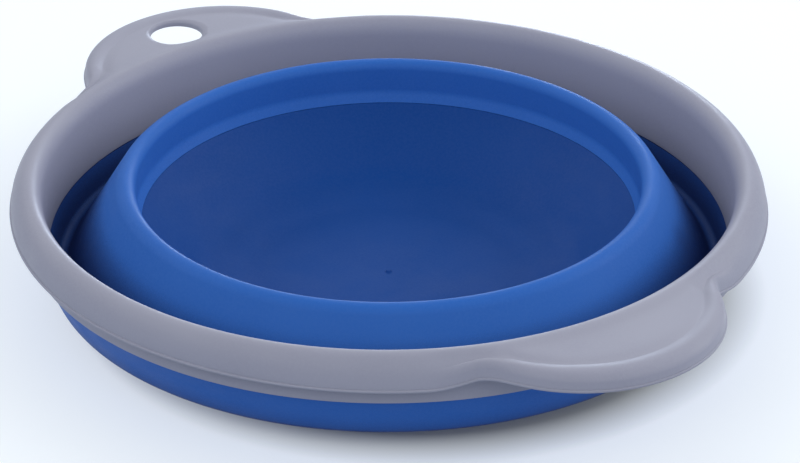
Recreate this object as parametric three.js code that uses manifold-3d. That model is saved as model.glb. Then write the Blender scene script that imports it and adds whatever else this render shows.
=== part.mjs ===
// Round collapsible pet bathtub, folded flat. Millimetres, +Z up, the origin on the ground under its centre.
// The two ears lie along X. The rim slides up on Z, and the slanted rubber band between the rim's wall and
// the inner ridge turns inside out as it does. The band is cut into rings that slide inside one another.
import * as THREE from 'three';
import { mergeVertices } from 'three/addons/utils/BufferGeometryUtils.js';
import Module from 'manifold-3d';

const wasm = await Module();
wasm.setup();

// Driving dimensions.
const SEGMENTS = 48; // facets round the tub
const GAP = 0.3; // clearance between neighbouring pieces
const RIM_RADIUS = 157.5; // lower edge of the rim's outer skirt
const RIM_LIP_Z = 38;
const CREST = { r: 148.95, z: 46.2, radius: 5.5 }; // the rim's rounded top
const SKIRT = 1.9;
const BAND_RADIUS = 151.5; // recessed grey band below the skirt
const BAND_WALL = 1.8;
const BAND_BOTTOM_Z = 29.6;
const INNER_WALL_FOOT = 142;
const INNER_WALL_FOOT_Z = 22.1;
const RIM_WALL = 2.3;
const CHANNEL_TOP_Z = 42; // the channel in the rim that the rubber wall is bonded into
const EAR_CENTRE = 132.6; // each ear is a round plate about this point on the X axis
const EAR_RADIUS = 58.6;
const EAR_FILLET = 28;
const EAR_MOUTH = 152.9; // radius at which the ear's plate meets the rim
const EAR_TOP_Z = 50.5;
const EAR_PLATE = 3;
const EAR_EDGE_Z = 43.2; // the ear's border is turned down to here
const EAR_BORDER = 2.2;
const EAR_DRAFT = 1.2; // the border leans in by this much at its foot
const HOLE_CENTRE = 166.3;
const HOLE_RADIUS = 11.5;
const RUBBER = 2.8; // thickness of the folding wall
const OUTER_FOLD = { r: 136.8, z: 14.2, inside: 2.7 };
const RIDGE = { r: 109, z: 46.7, outside: 3.7 };
const SHOULDER = { r: 106.98, z: 42.9, outside: 8 }; // softer arc that carries the ridge over into the band
const SHOULDER_START = 62; // direction in which the shoulder takes over from the ridge, in degrees
const BAND_RINGS = 8;
const LIP_EDGE = { r: 103.1, z: 32 }; // sharp lower edge of the ridge's inner face, over the dish
const FLANGE_RADIUS = 106.9;
const DISH = 2.4; // thickness of the hard base
const FLOOR_RADIUS = 70;
const FLOOR_EDGE_Z = 6.2;
const FLOOR_Z = 4.2;
const CONE_FOOT = { r: 76, z: 9.2 };
const FOOT_RING = { inner: 60, outer: 66, chamfer: 1 };

const grey = new THREE.MeshStandardMaterial({ color: 0x9a9cb0, roughness: 0.42, metalness: 0 });
const rubber = new THREE.MeshStandardMaterial({ color: 0x2f62b0, roughness: 0.55, metalness: 0 });
const base = new THREE.MeshStandardMaterial({ color: 0x26488a, roughness: 0.45, metalness: 0 });

// Points of an arc in the (r, z) plane, from one angle to the other in degrees.
function arc(centre, radius, from, to, steps) {
  return Array.from({ length: steps + 1 }, (_, i) => {
    const a = THREE.MathUtils.degToRad(from + ((to - from) * i) / steps);
    return [centre.r + radius * Math.cos(a), centre.z + radius * Math.sin(a)];
  });
}

// A body of revolution about Z. The profile runs counter-clockwise in the (r, z) plane.
function turned(profile) {
  const points = [...profile, profile[0]].map(([r, z]) => new THREE.Vector2(r, z));
  return new THREE.LatheGeometry(points, SEGMENTS).rotateX(Math.PI / 2);
}

function extruded(shape, bottom, top) {
  const options = { depth: top - bottom, bevelEnabled: false, curveSegments: 20 };
  return new THREE.ExtrudeGeometry(shape, options).translate(0, 0, bottom);
}

function solid(geometry) {
  const bare = geometry.clone();
  bare.deleteAttribute('normal');
  bare.deleteAttribute('uv');
  const merged = mergeVertices(bare, 1e-4);
  return new wasm.Manifold(new wasm.Mesh({
    numProp: 3,
    vertProperties: merged.attributes.position.array,
    triVerts: merged.index.array,
  }));
}

function geometryOf(body) {
  const mesh = body.getMesh();
  const geometry = new THREE.BufferGeometry();
  geometry.setAttribute('position', new THREE.BufferAttribute(mesh.vertProperties, 3));
  geometry.setIndex(new THREE.BufferAttribute(mesh.triVerts, 1));
  return geometry;
}

const group = new THREE.Group();
function addPiece(name, geometry, material) {
  const mesh = new THREE.Mesh(geometry, material);
  mesh.name = name;
  group.add(mesh);
}

// The folding band's straight run: it leaves the outer fold on its inner side and passes over the outer
// side of the ridge's shoulder, so its upper face is the common tangent of those two circles.
const run = Math.hypot(OUTER_FOLD.r - SHOULDER.r, SHOULDER.z - OUTER_FOLD.z);
const lean = Math.asin((OUTER_FOLD.inside + SHOULDER.outside) / run);
const bandSlope = Math.atan2(SHOULDER.z - OUTER_FOLD.z, OUTER_FOLD.r - SHOULDER.r) + lean;
const bandNormal = 90 - THREE.MathUtils.radToDeg(bandSlope); // direction of its upper face, in degrees
const bandFoot = arc(OUTER_FOLD, OUTER_FOLD.inside, bandNormal + 180, 0, 1)[0];
const bandHead = arc(SHOULDER, SHOULDER.outside, bandNormal, 0, 1)[0];
const bandDepth = RUBBER / Math.cos(bandSlope); // its thickness measured straight down
const bandTopAt = (r) => bandFoot[1] + (bandFoot[0] - r) * Math.tan(bandSlope);

// The draft of the rim's inner wall, which runs straight down from the innermost point of the crest.
const draft = (CREST.r - CREST.radius - INNER_WALL_FOOT) / (CREST.z - INNER_WALL_FOOT_Z);
const channelOutside = BAND_RADIUS - BAND_WALL;

function rimProfile() {
  const wallBack = INNER_WALL_FOOT + RIM_WALL + draft * (CHANNEL_TOP_Z - INNER_WALL_FOOT_Z);
  const roof = CREST.z + 0.6;
  return [
    [RIM_RADIUS, RIM_LIP_Z],
    [RIM_RADIUS - 0.4, RIM_LIP_Z + 5],
    [RIM_RADIUS - 1.2, CREST.z + 0.4],
    [RIM_RADIUS - 2.4, CREST.z + 2.5],
    [RIM_RADIUS - 3.9, CREST.z + 3.9],
    ...arc(CREST, CREST.radius, 61, 183, 7),
    [INNER_WALL_FOOT, INNER_WALL_FOOT_Z],
    [INNER_WALL_FOOT + RIM_WALL, INNER_WALL_FOOT_Z],
    [wallBack, CHANNEL_TOP_Z],
    [channelOutside, CHANNEL_TOP_Z],
    [channelOutside, BAND_BOTTOM_Z],
    [BAND_RADIUS, BAND_BOTTOM_Z],
    [BAND_RADIUS, roof],
    [BAND_RADIUS + 1.6, roof],
    [RIM_RADIUS - SKIRT, RIM_LIP_Z],
  ];
}

// A fillet joins the ear's round border to the rim on either side; this is the centre of its circle.
const filletReach = RIM_RADIUS + EAR_FILLET;
const filletX =
  (filletReach ** 2 - (EAR_RADIUS + EAR_FILLET) ** 2 + EAR_CENTRE ** 2) / (2 * EAR_CENTRE);
const filletY = Math.sqrt(filletReach ** 2 - filletX ** 2);
const mouthAngle = Math.atan2(filletY, filletX);

// The ear's outline seen from above, with its inner edge on a circle about the tub's axis. With a flare the
// outline runs on past the ear's two ends by that many radians.
function earOutline(inset, innerRadius, flare) {
  const atEar = Math.atan2(filletY, filletX - EAR_CENTRE);
  const fillet = EAR_FILLET + inset;
  const shape = new THREE.Shape();
  shape.absarc(EAR_CENTRE, 0, EAR_RADIUS - inset, -atEar, atEar, false);
  shape.absarc(filletX, filletY, fillet, atEar + Math.PI, mouthAngle + Math.PI - flare, true);
  shape.absarc(0, 0, innerRadius, mouthAngle + flare, -mouthAngle - flare, true);
  shape.absarc(filletX, -filletY, fillet, Math.PI - mouthAngle + flare, Math.PI - atEar, true);
  return shape;
}

// A closed body through a stack of ear outlines, given as [inset, z] from the lowest up.
function earStack(levels, innerRadius, flare) {
  const outlines = levels.map(([inset]) =>
    earOutline(inset, innerRadius, flare).getPoints(10)
      .filter((point, i, all) => point.distanceTo(all[(i + 1) % all.length]) > 1e-3));
  const count = outlines[0].length;
  const caps = THREE.ShapeUtils.triangulateShape(outlines[0], []);
  const index = [];
  levels.slice(1).forEach((_, level) => {
    for (let i = 0; i < count; i += 1) {
      const low = level * count + i;
      const lowNext = level * count + ((i + 1) % count);
      index.push(low, lowNext, lowNext + count, low, lowNext + count, low + count);
    }
  });
  const roof = (levels.length - 1) * count;
  caps.forEach(([a, b, c]) => index.push(a, c, b, roof + a, roof + b, roof + c));
  const vertices = outlines.flatMap((outline, level) =>
    outline.flatMap((point) => [point.x, point.y, levels[level][1]]));
  const geometry = new THREE.BufferGeometry();
  geometry.setAttribute('position', new THREE.Float32BufferAttribute(vertices, 3));
  geometry.setIndex(index);
  return solid(geometry);
}

function ear(withHole) {
  const outside = earStack(
    [[EAR_DRAFT, EAR_EDGE_Z], [0, EAR_TOP_Z - 3], [0.4, EAR_TOP_Z - 1.6], [1.5, EAR_TOP_Z - 0.6], [3.4, EAR_TOP_Z]],
    EAR_MOUTH,
    0,
  );
  const underside = earStack(
    [[EAR_BORDER + EAR_DRAFT, EAR_EDGE_Z - 1], [EAR_BORDER, EAR_TOP_Z - EAR_PLATE]],
    EAR_MOUTH - 5,
    0.1,
  );
  let body = outside.subtract(underside);
  if (withHole) {
    const hole = new THREE.CylinderGeometry(HOLE_RADIUS, HOLE_RADIUS, 20, 32).rotateX(Math.PI / 2);
    body = body.subtract(solid(hole.translate(HOLE_CENTRE, 0, EAR_TOP_Z)));
  }
  return geometryOf(body);
}

// The skirt is cut away in the mouth of each ear, where fingers reach in behind the ear's border.
function rimFrame() {
  const cutInside = EAR_MOUTH - GAP;
  const halfAngle = mouthAngle + GAP / cutInside;
  const sector = new THREE.Shape();
  sector.absarc(0, 0, RIM_RADIUS + 5, -halfAngle, halfAngle, false);
  sector.absarc(0, 0, cutInside, halfAngle, -halfAngle, true);
  const notch = extruded(sector, RIM_LIP_Z - 2, EAR_TOP_Z + 2);
  const opposite = notch.clone().rotateZ(Math.PI);
  return geometryOf(solid(turned(rimProfile())).subtract(solid(notch)).subtract(solid(opposite)));
}

// The upper wall hangs from the rim's channel and turns round the outer fold.
function upperWallProfile() {
  const tongueFoot = INNER_WALL_FOOT + RIM_WALL + GAP;
  const tongueTop = CHANNEL_TOP_Z - GAP;
  const outside = channelOutside - GAP;
  const fold = OUTER_FOLD.inside + RUBBER;
  const cut = bandFoot[0];
  const cutAngle = THREE.MathUtils.radToDeg(Math.acos((OUTER_FOLD.r - cut) / fold));
  return [
    [outside, BAND_BOTTOM_Z - 0.6],
    [outside, tongueTop],
    [tongueFoot + draft * (tongueTop - INNER_WALL_FOOT_Z), tongueTop],
    [tongueFoot, INNER_WALL_FOOT_Z - GAP],
    [INNER_WALL_FOOT + 0.2, INNER_WALL_FOOT_Z - GAP],
    ...arc(OUTER_FOLD, OUTER_FOLD.inside, -19, bandNormal - 180, 5),
    ...arc(OUTER_FOLD, fold, -180 + cutAngle, -24, 6),
  ];
}

// One ring of the folding band, between two upright cylinders, so that it slides past its neighbours.
function bandRingProfile(index) {
  const start = bandHead[0] + GAP;
  const pitch = (bandFoot[0] - start) / BAND_RINGS;
  const inner = start + index * pitch;
  const outer = inner + pitch - GAP;
  return [
    [outer, bandTopAt(outer) - bandDepth],
    [outer, bandTopAt(outer)],
    [inner, bandTopAt(inner)],
    [inner, bandTopAt(inner) - bandDepth],
  ];
}

// The ridge and the steep face inside it, down to the sharp lip that grips the dish's flange.
function ridgeProfile() {
  const under = RIDGE.outside - RUBBER;
  const shoulderUnder = SHOULDER.outside - RUBBER;
  const top = bandHead[1] - bandDepth;
  return [
    [bandHead[0], top],
    ...arc(SHOULDER, SHOULDER.outside, bandNormal, SHOULDER_START, 3),
    ...arc(RIDGE, RIDGE.outside, SHOULDER_START, 180, 7).slice(1),
    [RIDGE.r - RIDGE.outside + 0.3, LIP_EDGE.z + 6],
    [LIP_EDGE.r + 1.4, LIP_EDGE.z + 2.6],
    [LIP_EDGE.r, LIP_EDGE.z],
    [FLANGE_RADIUS + GAP, LIP_EDGE.z],
    [FLANGE_RADIUS + GAP, LIP_EDGE.z - 3.2],
    [FLANGE_RADIUS + GAP + 1.8, LIP_EDGE.z - 3.2],
    [RIDGE.r - under + 0.3, LIP_EDGE.z + 6],
    ...arc(RIDGE, under, 180, SHOULDER_START, 2),
    ...arc(SHOULDER, shoulderUnder, SHOULDER_START, bandNormal, 2).slice(1),
  ];
}

function baseWallProfile() {
  const top = LIP_EDGE.z - GAP;
  return [
    [FLOOR_RADIUS + GAP, FLOOR_EDGE_Z - DISH],
    [CONE_FOOT.r + 1.5, CONE_FOOT.z - DISH],
    [LIP_EDGE.r + 0.9, top - DISH],
    [FLANGE_RADIUS, top - DISH],
    [FLANGE_RADIUS, top],
    [LIP_EDGE.r, top],
    [CONE_FOOT.r, CONE_FOOT.z],
    [FLOOR_RADIUS + GAP, FLOOR_EDGE_Z + 0.1],
  ];
}

// The floor is a shallow disc with the foot ring that the tub stands on.
function baseFloorProfile() {
  return [
    [0, FLOOR_Z],
    [0, FLOOR_Z - DISH],
    [FOOT_RING.inner, FLOOR_Z - DISH],
    [FOOT_RING.inner + FOOT_RING.chamfer, 0],
    [FOOT_RING.outer - FOOT_RING.chamfer, 0],
    [FOOT_RING.outer, FLOOR_EDGE_Z - DISH - 0.8],
    [FLOOR_RADIUS, FLOOR_EDGE_Z - DISH],
    [FLOOR_RADIUS, FLOOR_EDGE_Z],
    [FOOT_RING.inner, FLOOR_Z + 0.4],
  ];
}

addPiece('rim_frame', rimFrame(), grey);
addPiece('plain_handle', ear(false), grey);
addPiece('hanging_handle', ear(true).rotateZ(Math.PI), grey);
addPiece('upper_wall', turned(upperWallProfile()), rubber);
for (let i = 0; i < BAND_RINGS; i += 1) {
  addPiece(`folding_band_${i + 1}`, turned(bandRingProfile(i)), rubber);
}
addPiece('ridge_wall', turned(ridgeProfile()), rubber);
addPiece('base_wall', turned(baseWallProfile()), base);
addPiece('base_floor', turned(baseFloorProfile()), base);

export default group;
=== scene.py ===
"""Round collapsible pet bathtub, folded flat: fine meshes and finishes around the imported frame."""
import math

import bmesh
import bpy
from mathutils import Matrix, Vector


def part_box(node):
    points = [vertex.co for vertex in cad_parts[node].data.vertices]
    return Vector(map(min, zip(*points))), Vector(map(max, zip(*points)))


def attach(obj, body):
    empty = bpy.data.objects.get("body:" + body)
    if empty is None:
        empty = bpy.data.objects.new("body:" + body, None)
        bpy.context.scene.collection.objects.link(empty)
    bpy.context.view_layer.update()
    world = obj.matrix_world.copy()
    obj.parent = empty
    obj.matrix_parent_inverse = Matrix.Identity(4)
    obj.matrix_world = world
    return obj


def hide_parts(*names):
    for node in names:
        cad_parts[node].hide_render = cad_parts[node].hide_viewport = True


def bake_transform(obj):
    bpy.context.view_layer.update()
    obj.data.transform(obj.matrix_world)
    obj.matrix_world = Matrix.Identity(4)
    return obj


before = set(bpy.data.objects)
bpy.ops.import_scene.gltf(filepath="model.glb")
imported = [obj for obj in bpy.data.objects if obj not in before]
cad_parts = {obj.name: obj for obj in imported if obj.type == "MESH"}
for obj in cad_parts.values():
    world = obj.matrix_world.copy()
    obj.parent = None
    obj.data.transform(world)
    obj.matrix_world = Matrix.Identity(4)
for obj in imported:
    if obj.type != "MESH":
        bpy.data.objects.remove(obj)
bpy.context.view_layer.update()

MM = 0.001
TURN_STEPS = 288  # columns round each turned piece
RIM_STEPS = 720  # columns round the rim, which also carries the ears
ON_AXIS = 1e-4  # radius that a turned point on the axis keeps until doubled points merge

# Driving sizes in millimetres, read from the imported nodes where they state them.
rim_low, rim_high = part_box("rim_frame")
ear_low, ear_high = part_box("plain_handle")
_, ridge_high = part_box("ridge_wall")
fold_low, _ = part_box("upper_wall")
_, dish_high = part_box("base_wall")

RIM_RADIUS = rim_high[1] / MM  # outer radius of the skirt's lower edge
WALL_FOOT_Z = rim_low[2] / MM  # lower edge of the rim's inner wall
WALL_FOOT_RADIUS = RIM_RADIUS - 15.5
CREST = Vector((RIM_RADIUS - 7.9, WALL_FOOT_Z + 29.8))  # highest line round the rim
WALL_TOP = Vector((RIM_RADIUS - 13.6, WALL_FOOT_Z + 22.4))  # the inner wall rounds over from here
LIP_Z = WALL_FOOT_Z + 15.9  # height of the skirt's lower edge
ROOF_Z = CREST.y - 4.8  # roof of the recess behind the skirt
BAND_BOTTOM_Z = WALL_FOOT_Z + 7.5  # lower edge of the recessed grey band
BAND_RADIUS = RIM_RADIUS - 6
BAND = 1.8  # thickness of the band
CHANNEL_TOP_Z = WALL_FOOT_Z + 19.9  # the channel behind the band grips the rubber
EAR_TIP = ear_high[0] / MM
EAR_RADIUS = 58.6
EAR_CENTRE = EAR_TIP - EAR_RADIUS
EAR_FILLET = 23
EAR_TOP_Z = ear_high[2] / MM
EAR_EDGE_Z = ear_low[2] / MM
EAR_PLATE = 3.0  # thickness of an ear's plate
EAR_SLOPE = 0.02  # the plate falls gently toward its tip
HOLE_CENTRE = EAR_TIP - 24.9
HOLE_RADIUS = 11.5
RUBBER = 2.8  # thickness of the folding wall
FOLD_INSIDE = 2.7  # inner radius of the outer fold
FOLD = Vector((136.8, fold_low[2] / MM + FOLD_INSIDE + RUBBER))
RIDGE_OUTSIDE = 3.7  # outer radius of the ridge's crest
RIDGE = Vector((109.0, ridge_high[2] / MM - RIDGE_OUTSIDE))
SHOULDER_OUTSIDE = 8.0  # the softer arc that carries the ridge over into the band
SHOULDER_START = 62  # degrees above level at which the softer arc takes over
SHOULDER = RIDGE - Vector((
    math.cos(math.radians(SHOULDER_START)), math.sin(math.radians(SHOULDER_START)),
)) * (SHOULDER_OUTSIDE - RIDGE_OUTSIDE)
FLANGE_RADIUS = dish_high[0] / MM
LIP_EDGE = Vector((103.1, dish_high[2] / MM + 0.3))
DISH = 2.4  # thickness of the dish
FLOOR_Z = 4.2  # upper side of its floor in the middle
FLOOR_EDGE = 58  # radius at which the floor turns up into the cone
FOOT_RING = (61.2, 65.2)  # inner and outer radius of the foot ring's flat
GATE_RADIUS = 0.9  # the raised mark in the middle of the floor


def mix(a, b, t):
    return a + (b - a) * t


def smooth(t):
    t = min(max(t, 0.0), 1.0)
    return t * t * (3 - 2 * t)


# ---------------------------------------------------------------- outlines

def arc(centre, radius, start, end, steps):
    """Points of an arc in the (r, z) plane, angles in degrees."""
    angles = [math.radians(mix(start, end, i / steps)) for i in range(steps + 1)]
    return [(centre[0] + radius * math.cos(a), centre[1] + radius * math.sin(a)) for a in angles]


def rounded(corners, closed=True, steps=6, support=0.25):
    """A polyline through corners (r, z, radius), each rounded by its radius.

    A point is added close to each end of a corner's curve, so that the shading stays even.
    """
    points = []
    count = len(corners)
    for i, (r, z, radius) in enumerate(corners):
        here = Vector((r, z))
        if radius == 0 or (not closed and i in (0, count - 1)):
            points.append(here)
            continue
        back = Vector(corners[i - 1][:2]) - here
        ahead = Vector(corners[(i + 1) % count][:2]) - here
        half = back.angle(ahead) / 2
        reach = min(radius / math.tan(half), 0.45 * back.length, 0.45 * ahead.length)
        first, last = here + back.normalized() * reach, here + ahead.normalized() * reach
        points.append(first + back.normalized() * support)
        for k in range(steps + 1):
            t = k / steps
            points.append(first * (1 - t) ** 2 + here * 2 * t * (1 - t) + last * t * t)
        points.append(last + ahead.normalized() * support)
    return [tuple(p) for p in points]


def subdivided(points, longest, closed=True):
    """The same polyline with no stretch longer than longest."""
    out = []
    count = len(points)
    for i in range(count if closed else count - 1):
        a, b = Vector(points[i]), Vector(points[(i + 1) % count])
        pieces = max(1, math.ceil((b - a).length / longest))
        out += [tuple(a.lerp(b, k / pieces)) for k in range(pieces)]
    if not closed:
        out.append(points[-1])
    return out


# ---------------------------------------------------------------- meshes

def mesh_object(name, bm):
    """A new object from a finished bmesh, smooth-shaded but for its real edges."""
    bmesh.ops.remove_doubles(bm, verts=bm.verts, dist=1e-6)
    bmesh.ops.recalc_face_normals(bm, faces=bm.faces)
    mesh = bpy.data.meshes.new(name)
    bm.to_mesh(mesh)
    bm.free()
    mesh.polygons.foreach_set("use_smooth", [True] * len(mesh.polygons))
    mesh.set_sharp_from_angle(angle=math.radians(38))
    piece = bpy.data.objects.new(name, mesh)
    bpy.context.collection.objects.link(piece)
    return piece


def grid(name, columns, closed_rows=True):
    """A ring of columns, each a list of (x, y, z) in millimetres, as one mesh."""
    bm = bmesh.new()
    verts = [[bm.verts.new(Vector(p) * MM) for p in column] for column in columns]
    rows = len(verts[0])
    for i, column in enumerate(verts):
        following = verts[(i + 1) % len(verts)]
        for j in range(rows if closed_rows else rows - 1):
            k = (j + 1) % rows
            bm.faces.new((column[j], following[j], following[k], column[k]))
    return mesh_object(name, bm)


def turned(name, profile, closed=True, longest=2.5):
    """A body of revolution about Z from (r, z) points in millimetres."""
    fine = subdivided(profile, longest, closed)
    columns = []
    for i in range(TURN_STEPS):
        a = 2 * math.pi * i / TURN_STEPS
        across, along = math.cos(a), math.sin(a)
        columns.append([(max(r, ON_AXIS) * across, max(r, ON_AXIS) * along, z) for r, z in fine])
    return grid(name, columns, closed)


# ---------------------------------------------------------------- materials

class Nodes:
    """Short calls that build one procedural material."""

    def __init__(self, name):
        self.material = bpy.data.materials.new(name)
        self.material.use_nodes = True
        self.tree = self.material.node_tree
        self.shader = self.tree.nodes["Principled BSDF"]
        self.place = self.add("ShaderNodeTexCoord").outputs["Object"]

    def add(self, kind, **settings):
        node = self.tree.nodes.new(kind)
        for key, value in settings.items():
            setattr(node, key, value)
        return node

    def link(self, a, b):
        self.tree.links.new(a, b)

    def noise(self, scale, detail=3.0, rough=0.5, stretch=None):
        node = self.add("ShaderNodeTexNoise")
        node.inputs["Scale"].default_value = scale
        node.inputs["Detail"].default_value = detail
        node.inputs["Roughness"].default_value = rough
        place = self.place
        if stretch:
            mapping = self.add("ShaderNodeMapping")
            mapping.inputs["Scale"].default_value = stretch
            self.link(place, mapping.inputs["Vector"])
            place = mapping.outputs["Vector"]
        self.link(place, node.inputs["Vector"])
        return node.outputs["Fac"]

    def ramp(self, value, low, high, to_low, to_high):
        node = self.add("ShaderNodeMapRange")
        ends = {"From Min": low, "From Max": high, "To Min": to_low, "To Max": to_high}
        for key, number in ends.items():
            node.inputs[key].default_value = number
        self.link(value, node.inputs["Value"])
        return node.outputs["Result"]

    def blend(self, factor, a, b):
        node = self.add("ShaderNodeMix", data_type="RGBA")
        self.link(factor, node.inputs["Factor"])
        for socket, colour in ((node.inputs["A"], a), (node.inputs["B"], b)):
            if isinstance(colour, tuple):
                socket.default_value = (*colour, 1)
            else:
                self.link(colour, socket)
        return node.outputs["Result"]

    def bump(self, height, distance, strength, below=None):
        node = self.add("ShaderNodeBump")
        node.inputs["Distance"].default_value = distance
        node.inputs["Strength"].default_value = strength
        self.link(height, node.inputs["Height"])
        if below:
            self.link(below, node.inputs["Normal"])
        return node.outputs["Normal"]


def linear(r, g, b):
    """A colour given in sRGB bytes."""
    def one(c):
        c /= 255
        return c / 12.92 if c <= 0.04045 else ((c + 0.055) / 1.055) ** 2.4
    return one(r), one(g), one(b)


# Painted shade in deep folds: how far the occlusion test reaches, and the navy that the colour is
# darkened toward.
PAINTED_SHADE_REACH = 0.027  # metres over which a fold counts as deep
PAINTED_SHADE_NAVY = (0.01, 0.008, 0.055)


def moulded(name, dark, light, roughness, grain, specular, crease_shade=1.0):
    """Moulded plastic or rubber: soft colour drift, a fine grain, handling marks in the gloss.

    Crease shade is painted shade: it is the share of its own colour that a deep fold keeps, and the
    rest is darkened toward navy where the fold shuts out the light.
    """
    n = Nodes(name)
    drift = n.ramp(n.noise(14, 2), 0.3, 0.7, 0, 1)
    speckle = n.ramp(n.noise(900, 2, 0.6), 0.35, 0.65, 0, 1)
    tone = n.blend(drift, dark, light)
    dusty = tuple(mix(c, 0.6, 0.02) for c in light)
    tone = n.blend(n.ramp(speckle, 0, 1, 0, 0.5), tone, dusty)
    # Painted shade: where an occlusion test finds a deep fold, the colour is darkened toward navy.
    if crease_shade < 1:
        crease_occlusion = n.add("ShaderNodeAmbientOcclusion", samples=4)
        crease_occlusion.inputs["Distance"].default_value = PAINTED_SHADE_REACH
        unshaded_share = n.ramp(crease_occlusion.outputs["AO"], 0.39, 0.71, crease_shade, 1.0)
        tone = n.blend(unshaded_share, PAINTED_SHADE_NAVY, tone)
    n.link(tone, n.shader.inputs["Base Color"])
    marks = n.noise(55, 4, 0.62, (1, 1, 3))
    gloss = n.ramp(marks, 0.35, 0.68, roughness - 0.05, roughness + 0.07)
    n.link(gloss, n.shader.inputs["Roughness"])
    fine = n.bump(n.noise(1500, 2, 0.55), 0.00006, grain)
    n.link(n.bump(n.noise(26, 2), 0.0006, 0.18, fine), n.shader.inputs["Normal"])
    n.shader.inputs["Specular IOR Level"].default_value = specular
    return n.material


GREY = moulded("rim_grey", linear(153, 154, 172), linear(160, 161, 178), 0.48, 0.35, 0.3)
# The rubber keeps 0.15 of its colour in its deepest folds, and the rest is painted shade.
RUBBER_BLUE = moulded(
    "rubber_blue", linear(44, 101, 187), linear(50, 107, 193), 0.5, 0.3, 0.1, crease_shade=0.15,
)
BASE_BLUE = moulded("base_blue", linear(15, 68, 142), linear(19, 72, 148), 0.5, 0.22, 0.12)


def finish(piece, material, slot, body, *nodes):
    """Give a piece its material, and say which solids it replaces and what it moves with."""
    piece.data.materials.append(material)
    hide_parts(*nodes)
    if body:
        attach(piece, body)


# ---------------------------------------------------------------- rim with its two ears

def outline(from_ear):
    """Distance of the rim's outline from the axis, at an angle from an ear's own axis.

    It is the rim's circle, then a hollow fillet about (x, y), then the ear's circle.
    """
    reach = RIM_RADIUS + EAR_FILLET
    x = (reach ** 2 - (EAR_RADIUS + EAR_FILLET) ** 2 + EAR_CENTRE ** 2) / (2 * EAR_CENTRE)
    y = math.sqrt(reach ** 2 - x ** 2)
    toward = Vector((x - EAR_CENTRE, y)).normalized() * EAR_RADIUS
    if from_ear >= math.atan2(y, x):
        return RIM_RADIUS
    across, along = math.sin(from_ear), math.cos(from_ear)
    if from_ear >= math.atan2(toward.y, EAR_CENTRE + toward.x):
        aside = y * along - x * across
        return x * along + y * across - math.sqrt(max(EAR_FILLET ** 2 - aside ** 2, 0))
    return EAR_CENTRE * along + math.sqrt(EAR_RADIUS ** 2 - (EAR_CENTRE * across) ** 2)


TOP_ROWS, UNDER_ROWS = 60, 14
PLATE_SHARE, ROLL_SHARE = 0.6, 0.85  # an ear's plate ends, and its rolled border ends, at these
SKIRT = 1.9  # thickness of the skirt
SKIRT_LEAN, EAR_LEAN = 0.6, 0.5  # the outer face meets the bead this far inside the edge
EDGE_ROUND = 0.5  # small edges that a finger meets
BEAD = 0.75  # radius of the bead along the skirt's lower edge
FLARE = 1.3  # the rim swells by this much on its way to an ear
FLARE_START, FLARE_LENGTH = math.radians(70), math.radians(40)
EAR_BLEND = (math.radians(29), math.radians(17))  # the edge climbs to the ear between these
EAR_DRAFT = 0.1  # an ear's edge leans in by this much at the foot
EAR_LEVEL = 10.8  # its plate is at EAR_TOP_Z this far outside the crest
CREST_WIDTH = 3.8  # the crest sinks to the plate within about this
BORDER = 11.5  # the plate begins to roll over this far inside the edge
BORDER_SHARE = 0.55  # or within this share of the way from the crest
DIP, DIP_WIDTH = 0.4, 0.35  # hollow before the border: depth, and width as a share of the border
ROLL_OUT, ROLL_UP = 0.47, 2.0  # how strongly the border swells out and up
KNEE_IN, KNEE_DOWN = 1.2, 2.9  # the roll ends this far inside the edge and below the border
KNEE_PULL = Vector((-0.7, 2.5))
GROOVE = 0.8  # a short crease where an ear's border runs out into the rim's crest
GROOVE_WIDTH = 0.42  # as a share of the border
GROOVE_SPAN = (math.radians(9), math.radians(31))
GROOVE_FADE = (0.16, 0.1)  # radians over which each end of the crease runs out
INNER_ROUND = (WALL_TOP, WALL_TOP + Vector((0.45, 4.7)), CREST + Vector((-3.0, 0.1)), CREST)
OUTER_ROUND = (CREST, CREST + Vector((4.0, -0.3)), CREST + Vector((7.7, -5.0)))


def bezier(a, b, c, d, t):
    return a * (1 - t) ** 3 + b * 3 * t * (1 - t) ** 2 + c * 3 * t * t * (1 - t) + d * t ** 3


def bell(distance, width):
    return math.exp(-((distance / width) ** 2))


def rim_over(t, lip):
    """The rim's outer side, from the top of its crest (t = 0) down to the lip (t = 1)."""
    return bezier(*OUTER_ROUND, lip, t)


def ear_over(t, lip, edge, reach):
    """The same way over an ear: plate, raised border, its roll and its wall."""
    border = edge - reach

    def top_z(r):
        plate = EAR_TOP_Z + DIP - EAR_SLOPE * (r - CREST.x - EAR_LEVEL)
        z = plate + (CREST.y - plate) * bell(r - CREST.x, CREST_WIDTH)
        return z - DIP * bell(border - r, DIP_WIDTH * reach)

    if t < PLATE_SHARE:
        r = mix(CREST.x, border, 1 - (1 - t / PLATE_SHARE) ** 1.25)
        return Vector((r, top_z(r)))
    start = Vector((border, top_z(border)))
    knee = Vector((edge - KNEE_IN, start.y - KNEE_DOWN))
    if t < ROLL_SHARE:
        swell = start + Vector((ROLL_OUT * reach, ROLL_UP * reach / BORDER))
        u = (t - PLATE_SHARE) / (ROLL_SHARE - PLATE_SHARE)
        return bezier(start, swell, knee + KNEE_PULL, knee, u)
    return knee.lerp(lip, (t - ROLL_SHARE) / (1 - ROLL_SHARE))


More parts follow.
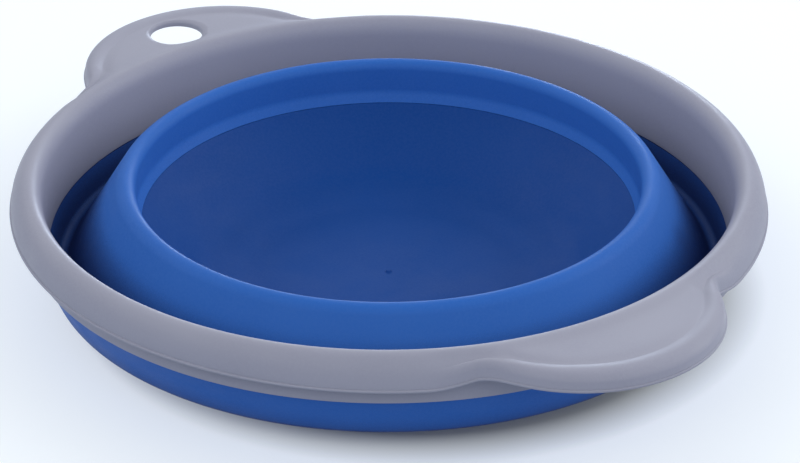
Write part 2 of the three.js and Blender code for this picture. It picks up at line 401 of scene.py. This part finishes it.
def rim_column(angle):
    """One upright section through the rim at an angle in radians, as (r, z) points."""
    from_ear = abs(math.remainder(angle, math.pi))
    ear = smooth((EAR_BLEND[0] - from_ear) / (EAR_BLEND[0] - EAR_BLEND[1]))
    flare = FLARE * smooth((FLARE_START - from_ear) / FLARE_LENGTH)
    edge = max(outline(from_ear), RIM_RADIUS + flare)
    foot = edge - EAR_DRAFT * ear
    lip_z = mix(LIP_Z, EAR_EDGE_Z, ear)
    lip = Vector((foot - mix(SKIRT_LEAN, EAR_LEAN, ear), lip_z + 2.1 * BEAD))

    low = WALL_FOOT_Z + EDGE_ROUND
    points = arc((WALL_FOOT_RADIUS + EDGE_ROUND, low), EDGE_ROUND, 270, 190, 4)
    points += subdivided([(WALL_FOOT_RADIUS, low), tuple(WALL_TOP)], 3, closed=False)
    points += [tuple(bezier(*INNER_ROUND, i / 12)) for i in range(1, 12)]
    reach = min(BORDER, BORDER_SHARE * (edge - CREST.x))
    groove = GROOVE * smooth((from_ear - GROOVE_SPAN[0]) / GROOVE_FADE[0])
    groove *= smooth((GROOVE_SPAN[1] - from_ear) / GROOVE_FADE[1])
    for i in range(TOP_ROWS + 1):
        t = i / TOP_ROWS
        point = rim_over(t, lip).lerp(ear_over(t, lip, edge, reach), ear)
        dip = groove * bell(point.x - edge + reach, GROOVE_WIDTH * reach)
        points.append((point.x, point.y - dip * smooth(6 * t)))
    # The bead along the lower edge, and the skirt's inner face up to the roof of the recess.
    points += arc((foot - BEAD, lip_z + BEAD), BEAD, 84, -90, 10)
    points += arc((foot - SKIRT + EDGE_ROUND, lip_z + EDGE_ROUND), EDGE_ROUND, -95, -180, 4)
    plate_z = EAR_TOP_Z - EAR_PLATE
    roof_r, roof_z = BAND_RADIUS + 1.6, mix(ROOF_Z, plate_z, ear)
    for i in range(1, UNDER_ROWS + 1):
        t = i / UNDER_ROWS
        r = mix(foot - SKIRT, roof_r, t)
        under_rim = mix(lip_z + EDGE_ROUND, ROOF_Z, t)
        under_ear = mix(lip_z + EDGE_ROUND, plate_z, min(1, (foot - SKIRT - r) / 4) ** 0.6)
        points.append((r, mix(under_rim, under_ear, ear)))
    # Recess, band and the channel that grips the rubber.
    points += rounded(
        [
            (roof_r, roof_z, 0),
            (BAND_RADIUS, roof_z, 0.5),
            (BAND_RADIUS, BAND_BOTTOM_Z, 0.35),
            (BAND_RADIUS - BAND, BAND_BOTTOM_Z, 0.35),
            (BAND_RADIUS - BAND, CHANNEL_TOP_Z, 0.3),
            (WALL_FOOT_RADIUS + 4.76, CHANNEL_TOP_Z, 0.3),
            (WALL_FOOT_RADIUS + 2.3, WALL_FOOT_Z, 0.3),
            (WALL_FOOT_RADIUS + 1.2, WALL_FOOT_Z, 0),
        ],
        closed=False, steps=4,
    )[1:-1]
    return points


def rim_with_ears():
    """The grey moulding in one piece, with the hanging hole cut through its far ear."""
    columns = []
    for i in range(RIM_STEPS):
        a = 2 * math.pi * i / RIM_STEPS
        columns.append([(r * math.cos(a), r * math.sin(a), z) for r, z in rim_column(a)])
    rim = grid("rim_with_ears", columns)
    # The cutter flares at the plate's two sides, which leaves the hole with rounded edges.
    under, over = HOLE_RADIUS + 2, HOLE_RADIUS + 2.4
    waist = rounded(
        [
            (0.001, -12, 0), (under, -12, 0), (under, -EAR_PLATE - 1.1, 0),
            (HOLE_RADIUS, -EAR_PLATE + 0.1, 0.6), (HOLE_RADIUS, -0.9, 1.4),
            (over, 0.5, 0), (over, 12, 0), (0.001, 12, 0),
        ],
        steps=5, support=0.05,
    )
    cutter = turned("hole_cutter", waist, longest=30)
    cutter.location = Vector((-HOLE_CENTRE, 0, EAR_TOP_Z)) * MM
    cut = rim.modifiers.new("hole", "BOOLEAN")
    cut.object, cut.operation, cut.solver = cutter, "DIFFERENCE", "EXACT"
    bpy.context.view_layer.update()
    evaluated = rim.evaluated_get(bpy.context.evaluated_depsgraph_get())
    mesh = bpy.data.meshes.new_from_object(evaluated)
    rim.modifiers.clear()
    rim.data = mesh
    rim.data.name = "rim_with_ears"
    rim.data.materials.clear()
    bpy.data.objects.remove(cutter)
    finish(rim, GREY, "rim_grey", "rim", "rim_frame", "plain_handle", "hanging_handle")


# ---------------------------------------------------------------- rubber folding wall

# The band runs straight between its two folds, touching the outside of both.
run = SHOULDER - FOLD
lean = math.asin((FOLD_INSIDE + SHOULDER_OUTSIDE) / run.length)
slope = math.atan2(run.y, -run.x) + lean
facing = 90 - math.degrees(slope)  # direction of the band's upper face
out = Vector((math.cos(math.radians(facing)), math.sin(math.radians(facing))))
foot_upper, head_upper = FOLD - out * FOLD_INSIDE, SHOULDER + out * SHOULDER_OUTSIDE
foot_lower, head_lower = foot_upper - out * RUBBER, head_upper - out * RUBBER


def upper_wall():
    """The wall from the rim's channel down into the outer fold."""
    outside = BAND_RADIUS - 2.1
    thick = FOLD_INSIDE + RUBBER
    profile = [
        (outside, BAND_BOTTOM_Z - 0.6),
        (outside, CHANNEL_TOP_Z - 0.3),
        (WALL_FOOT_RADIUS + 5.0, CHANNEL_TOP_Z - 0.3),
        (WALL_FOOT_RADIUS + 2.6, WALL_FOOT_Z + 0.4),
        (WALL_FOOT_RADIUS + 2.4, WALL_FOOT_Z - 0.15),
        (WALL_FOOT_RADIUS + 0.2, WALL_FOOT_Z - 0.2),
        *arc(FOLD, FOLD_INSIDE, -19, facing - 180, 12),
        *arc(FOLD, thick, facing - 180, -24, 16),
    ]
    piece = turned("upper_wall_skin", profile)
    finish(piece, RUBBER_BLUE, "rubber_blue", "rim", "upper_wall")


def folding_band():
    """The band that turns over has one face on each side."""
    rings = [f"folding_band_{i + 1}" for i in range(8)]
    for name, foot, head in (
        ("folding_band_inner_face", foot_upper, head_upper),
        ("folding_band_outer_face", foot_lower, head_lower),
    ):
        profile = subdivided([tuple(foot), tuple(head)], 1.2, closed=False)
        piece = turned(name, profile, closed=False)
        finish(piece, RUBBER_BLUE, "rubber_blue", None, *rings)
        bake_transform(piece)


def ridge():
    """The ridge that stands inside the rim, and the steep wall behind it down to the sharp lip."""
    under, shoulder_under = RIDGE_OUTSIDE - RUBBER, SHOULDER_OUTSIDE - RUBBER
    grip = FLANGE_RADIUS + 0.3
    left = rounded(
        [
            (RIDGE.x - RIDGE_OUTSIDE, RIDGE.y, 0),
            (RIDGE.x - RIDGE_OUTSIDE + 0.2, LIP_EDGE.y + 4.2, 5),
            (LIP_EDGE.x, LIP_EDGE.y, 0.15),
            (LIP_EDGE.x + 1.5, LIP_EDGE.y, 0),
        ],
        closed=False, steps=9,
    )[1:-1]
    back = [
        (grip, LIP_EDGE.y), (grip, LIP_EDGE.y - 3.2), (grip + 1.8, LIP_EDGE.y - 3.2),
        (RIDGE.x - under + 0.3, LIP_EDGE.y + 6),
    ]
    profile = [
        *arc(SHOULDER, SHOULDER_OUTSIDE, facing, SHOULDER_START, 12),
        *arc(RIDGE, RIDGE_OUTSIDE, SHOULDER_START, 180, 26)[1:], *left, *back,
        *arc(RIDGE, under, 180, SHOULDER_START, 6),
        *arc(SHOULDER, shoulder_under, SHOULDER_START, facing, 6)[1:],
    ]
    piece = turned("ridge_and_lower_wall", profile, longest=1.5)
    finish(piece, RUBBER_BLUE, "rubber_blue", "base", "ridge_wall")


# ---------------------------------------------------------------- hard base

def base():
    """The dish in one piece, from the middle of the floor out and back underneath."""
    top = LIP_EDGE.y - 0.1
    under = FLOOR_Z - DISH
    profile = rounded(
        [
            # The gate mark and the floor.
            (0.0, FLOOR_Z + 0.9, 0), (GATE_RADIUS, FLOOR_Z + 0.9, 0.35),
            (GATE_RADIUS + 0.6, FLOOR_Z + 0.05, 0.3), (FLOOR_EDGE, FLOOR_Z + 0.4, 40),
            # The cone and the flange that the rubber grips.
            (76.5, 8.6, 26), (LIP_EDGE.x, top, 0.2), (FLANGE_RADIUS, top, 0.3),
            (FLANGE_RADIUS, top - DISH, 0.3), (LIP_EDGE.x + 0.9, top - DISH, 1.5), (77, 6.3, 12),
            # The foot ring and the underside.
            (FOOT_RING[1] + 1.4, FLOOR_Z - 0.6, 1.5), (FOOT_RING[1], 0, 0.7),
            (FOOT_RING[0], 0, 0.7), (FOOT_RING[0] - 1.2, under, 0.8), (0.0, under, 0),
        ],
        closed=False, steps=8,
    )
    piece = turned("base_dish", profile, closed=False)
    finish(piece, BASE_BLUE, "base_blue", "base", "base_wall", "base_floor")


rim_with_ears()
upper_wall()
folding_band()
ridge()
base()


# ---------------------------------------------------------------- stage, light and camera

AZIMUTH, ELEVATION = math.radians(55.6), math.radians(28.03)
DISTANCE = 1.8
LENS = 194
ROLL = math.radians(-0.15)
AIM_RIGHT, AIM_UP = 4.77 * MM, -12.8 * MM  # from the middle of the rim's edge

level = Vector((math.sin(AZIMUTH), -math.cos(AZIMUTH), 0))  # toward the camera, along the floor
back = level * math.cos(ELEVATION) + Vector((0, 0, math.sin(ELEVATION)))
right = Vector((math.cos(AZIMUTH), math.sin(AZIMUTH), 0))
up = back.cross(right)
middle = Vector((0, 0, LIP_Z * MM))


def aimed(obj, place, target, roll=0.0):
    """Put a camera or light at a place, looking at a target, rolled about its own view."""
    turn = (place - target).to_track_quat("Z", "Y").to_matrix().to_4x4()
    obj.matrix_world = Matrix.Translation(place) @ turn @ Matrix.Rotation(roll, 4, "Z")


camera = bpy.data.objects.new("camera", bpy.data.cameras.new("camera"))
bpy.context.collection.objects.link(camera)
camera.data.lens = LENS
camera.data.sensor_width = 36
camera.data.clip_end = 20
aimed(camera, middle + back * DISTANCE, middle + right * AIM_RIGHT + up * AIM_UP, ROLL)
bpy.context.scene.camera = camera


# The table's own glow and the painted shadow in it, from the middle of the tub's painted shadow
# outward, in metres.
GLOW_TINT = (0.46, 0.50, 0.59, 1)
GLOW_IN_PAINTED_SHADOW, GLOW_FULL = 0.05, 1.0
# Painted shadow: radii over which the glow rises from its low strength to its full strength.
PAINTED_SHADOW_INSIDE, PAINTED_SHADOW_OUTSIDE = 0.121, 0.146
PAINTED_SHADOW_MIDDLE = right * 0.013 + level * math.cos(ELEVATION) * 0.005


def floor():
    """A white light table: its glow is painted light that keeps the shadow on it pale and bluish,
    and the shadow itself is painted.
    """
    bm = bmesh.new()
    bmesh.ops.create_grid(bm, x_segments=8, y_segments=8, size=4)
    sheet = mesh_object("floor", bm)
    n = Nodes("floor")
    drift = n.ramp(n.noise(1.5, 2), 0.3, 0.7, 0, 1)
    tone = n.blend(drift, (0.54, 0.55, 0.51), (0.56, 0.57, 0.52))
    n.link(tone, n.shader.inputs["Base Color"])
    n.shader.inputs["Roughness"].default_value = 0.75
    n.shader.inputs["Specular IOR Level"].default_value = 0.1
    n.shader.inputs["Emission Color"].default_value = GLOW_TINT
    # Painted shadow: the glow falls off toward the middle of the tub's shade, as if the tub shaded
    # the light table under itself.
    flat = n.add("ShaderNodeVectorMath", operation="MULTIPLY")
    flat.inputs[1].default_value = (1, 1, 0)
    shift = n.add("ShaderNodeVectorMath", operation="SUBTRACT")
    shift.inputs[1].default_value = PAINTED_SHADOW_MIDDLE
    away = n.add("ShaderNodeVectorMath", operation="LENGTH")
    n.link(n.place, flat.inputs[0])
    n.link(flat.outputs["Vector"], shift.inputs[0])
    n.link(shift.outputs["Vector"], away.inputs[0])
    glow = n.ramp(away.outputs["Value"], PAINTED_SHADOW_INSIDE, PAINTED_SHADOW_OUTSIDE, GLOW_IN_PAINTED_SHADOW, GLOW_FULL)
    n.link(glow, n.shader.inputs["Emission Strength"])
    sheet.visible_diffuse = False  # the room's lower half sets how much light comes up from below
    sheet.data.materials.append(n.material)


def softbox(name, place, power, size, colour=(1, 1, 1)):
    """An area light, its place given as (right, toward the camera, up) from the tub."""
    light = bpy.data.lights.new(name, "AREA")
    light.energy, light.color, light.size = power, colour, size
    lamp = bpy.data.objects.new(name, light)
    bpy.context.collection.objects.link(lamp)
    aimed(lamp, right * place[0] + level * place[1] + Vector((0, 0, place[2])), middle)


floor()
softbox("right_box", (2.2, -0.6, 0.9), 13, 1.5)
softbox("back_box", (0.3, -2.0, 0.168), 10, 0.4, (0.8, 0.92, 1.1))
softbox("left_box", (-2.0, -0.9, 1.4), 0.8, 1.5)

# The room's brightness at heights in degrees, and its tint above the horizon and below.
SKY = ((-90, 0.2), (0, 0.3), (14, 0.35), (28, 1.0), (50, 0.98), (64, 0.12), (90, 0.03))
TINT_ABOVE, TINT_BELOW = (0.95, 0.975, 1.0), (0.8, 0.95, 1.2)


def studio():
    """A ring of soft light at middle height all round, with a dim horizon and a dim ceiling."""
    world = bpy.data.worlds.new("studio")
    bpy.context.scene.world = world
    world.use_nodes = True
    tree = world.node_tree
    background = tree.nodes["Background"]
    background.inputs["Strength"].default_value = 1.4
    split = tree.nodes.new("ShaderNodeSeparateXYZ")
    height = tree.nodes.new("ShaderNodeMapRange")
    height.inputs["From Min"].default_value = -1
    ring = tree.nodes.new("ShaderNodeValToRGB")
    while len(ring.color_ramp.elements) < len(SKY):
        ring.color_ramp.elements.new(0.5)
    for element, (degrees, level) in zip(ring.color_ramp.elements, SKY):
        element.position = (math.sin(math.radians(degrees)) + 1) / 2
        tint = TINT_ABOVE if degrees > 0 else TINT_BELOW
        element.color = (*(level * part for part in tint), 1)
    place = tree.nodes.new("ShaderNodeTexCoord").outputs["Generated"]
    tree.links.new(place, split.inputs["Vector"])
    tree.links.new(split.outputs["Z"], height.inputs["Value"])
    tree.links.new(height.outputs["Result"], ring.inputs["Fac"])
    tree.links.new(ring.outputs["Color"], background.inputs["Color"])


studio()
bpy.context.scene.view_settings.view_transform = "Standard"
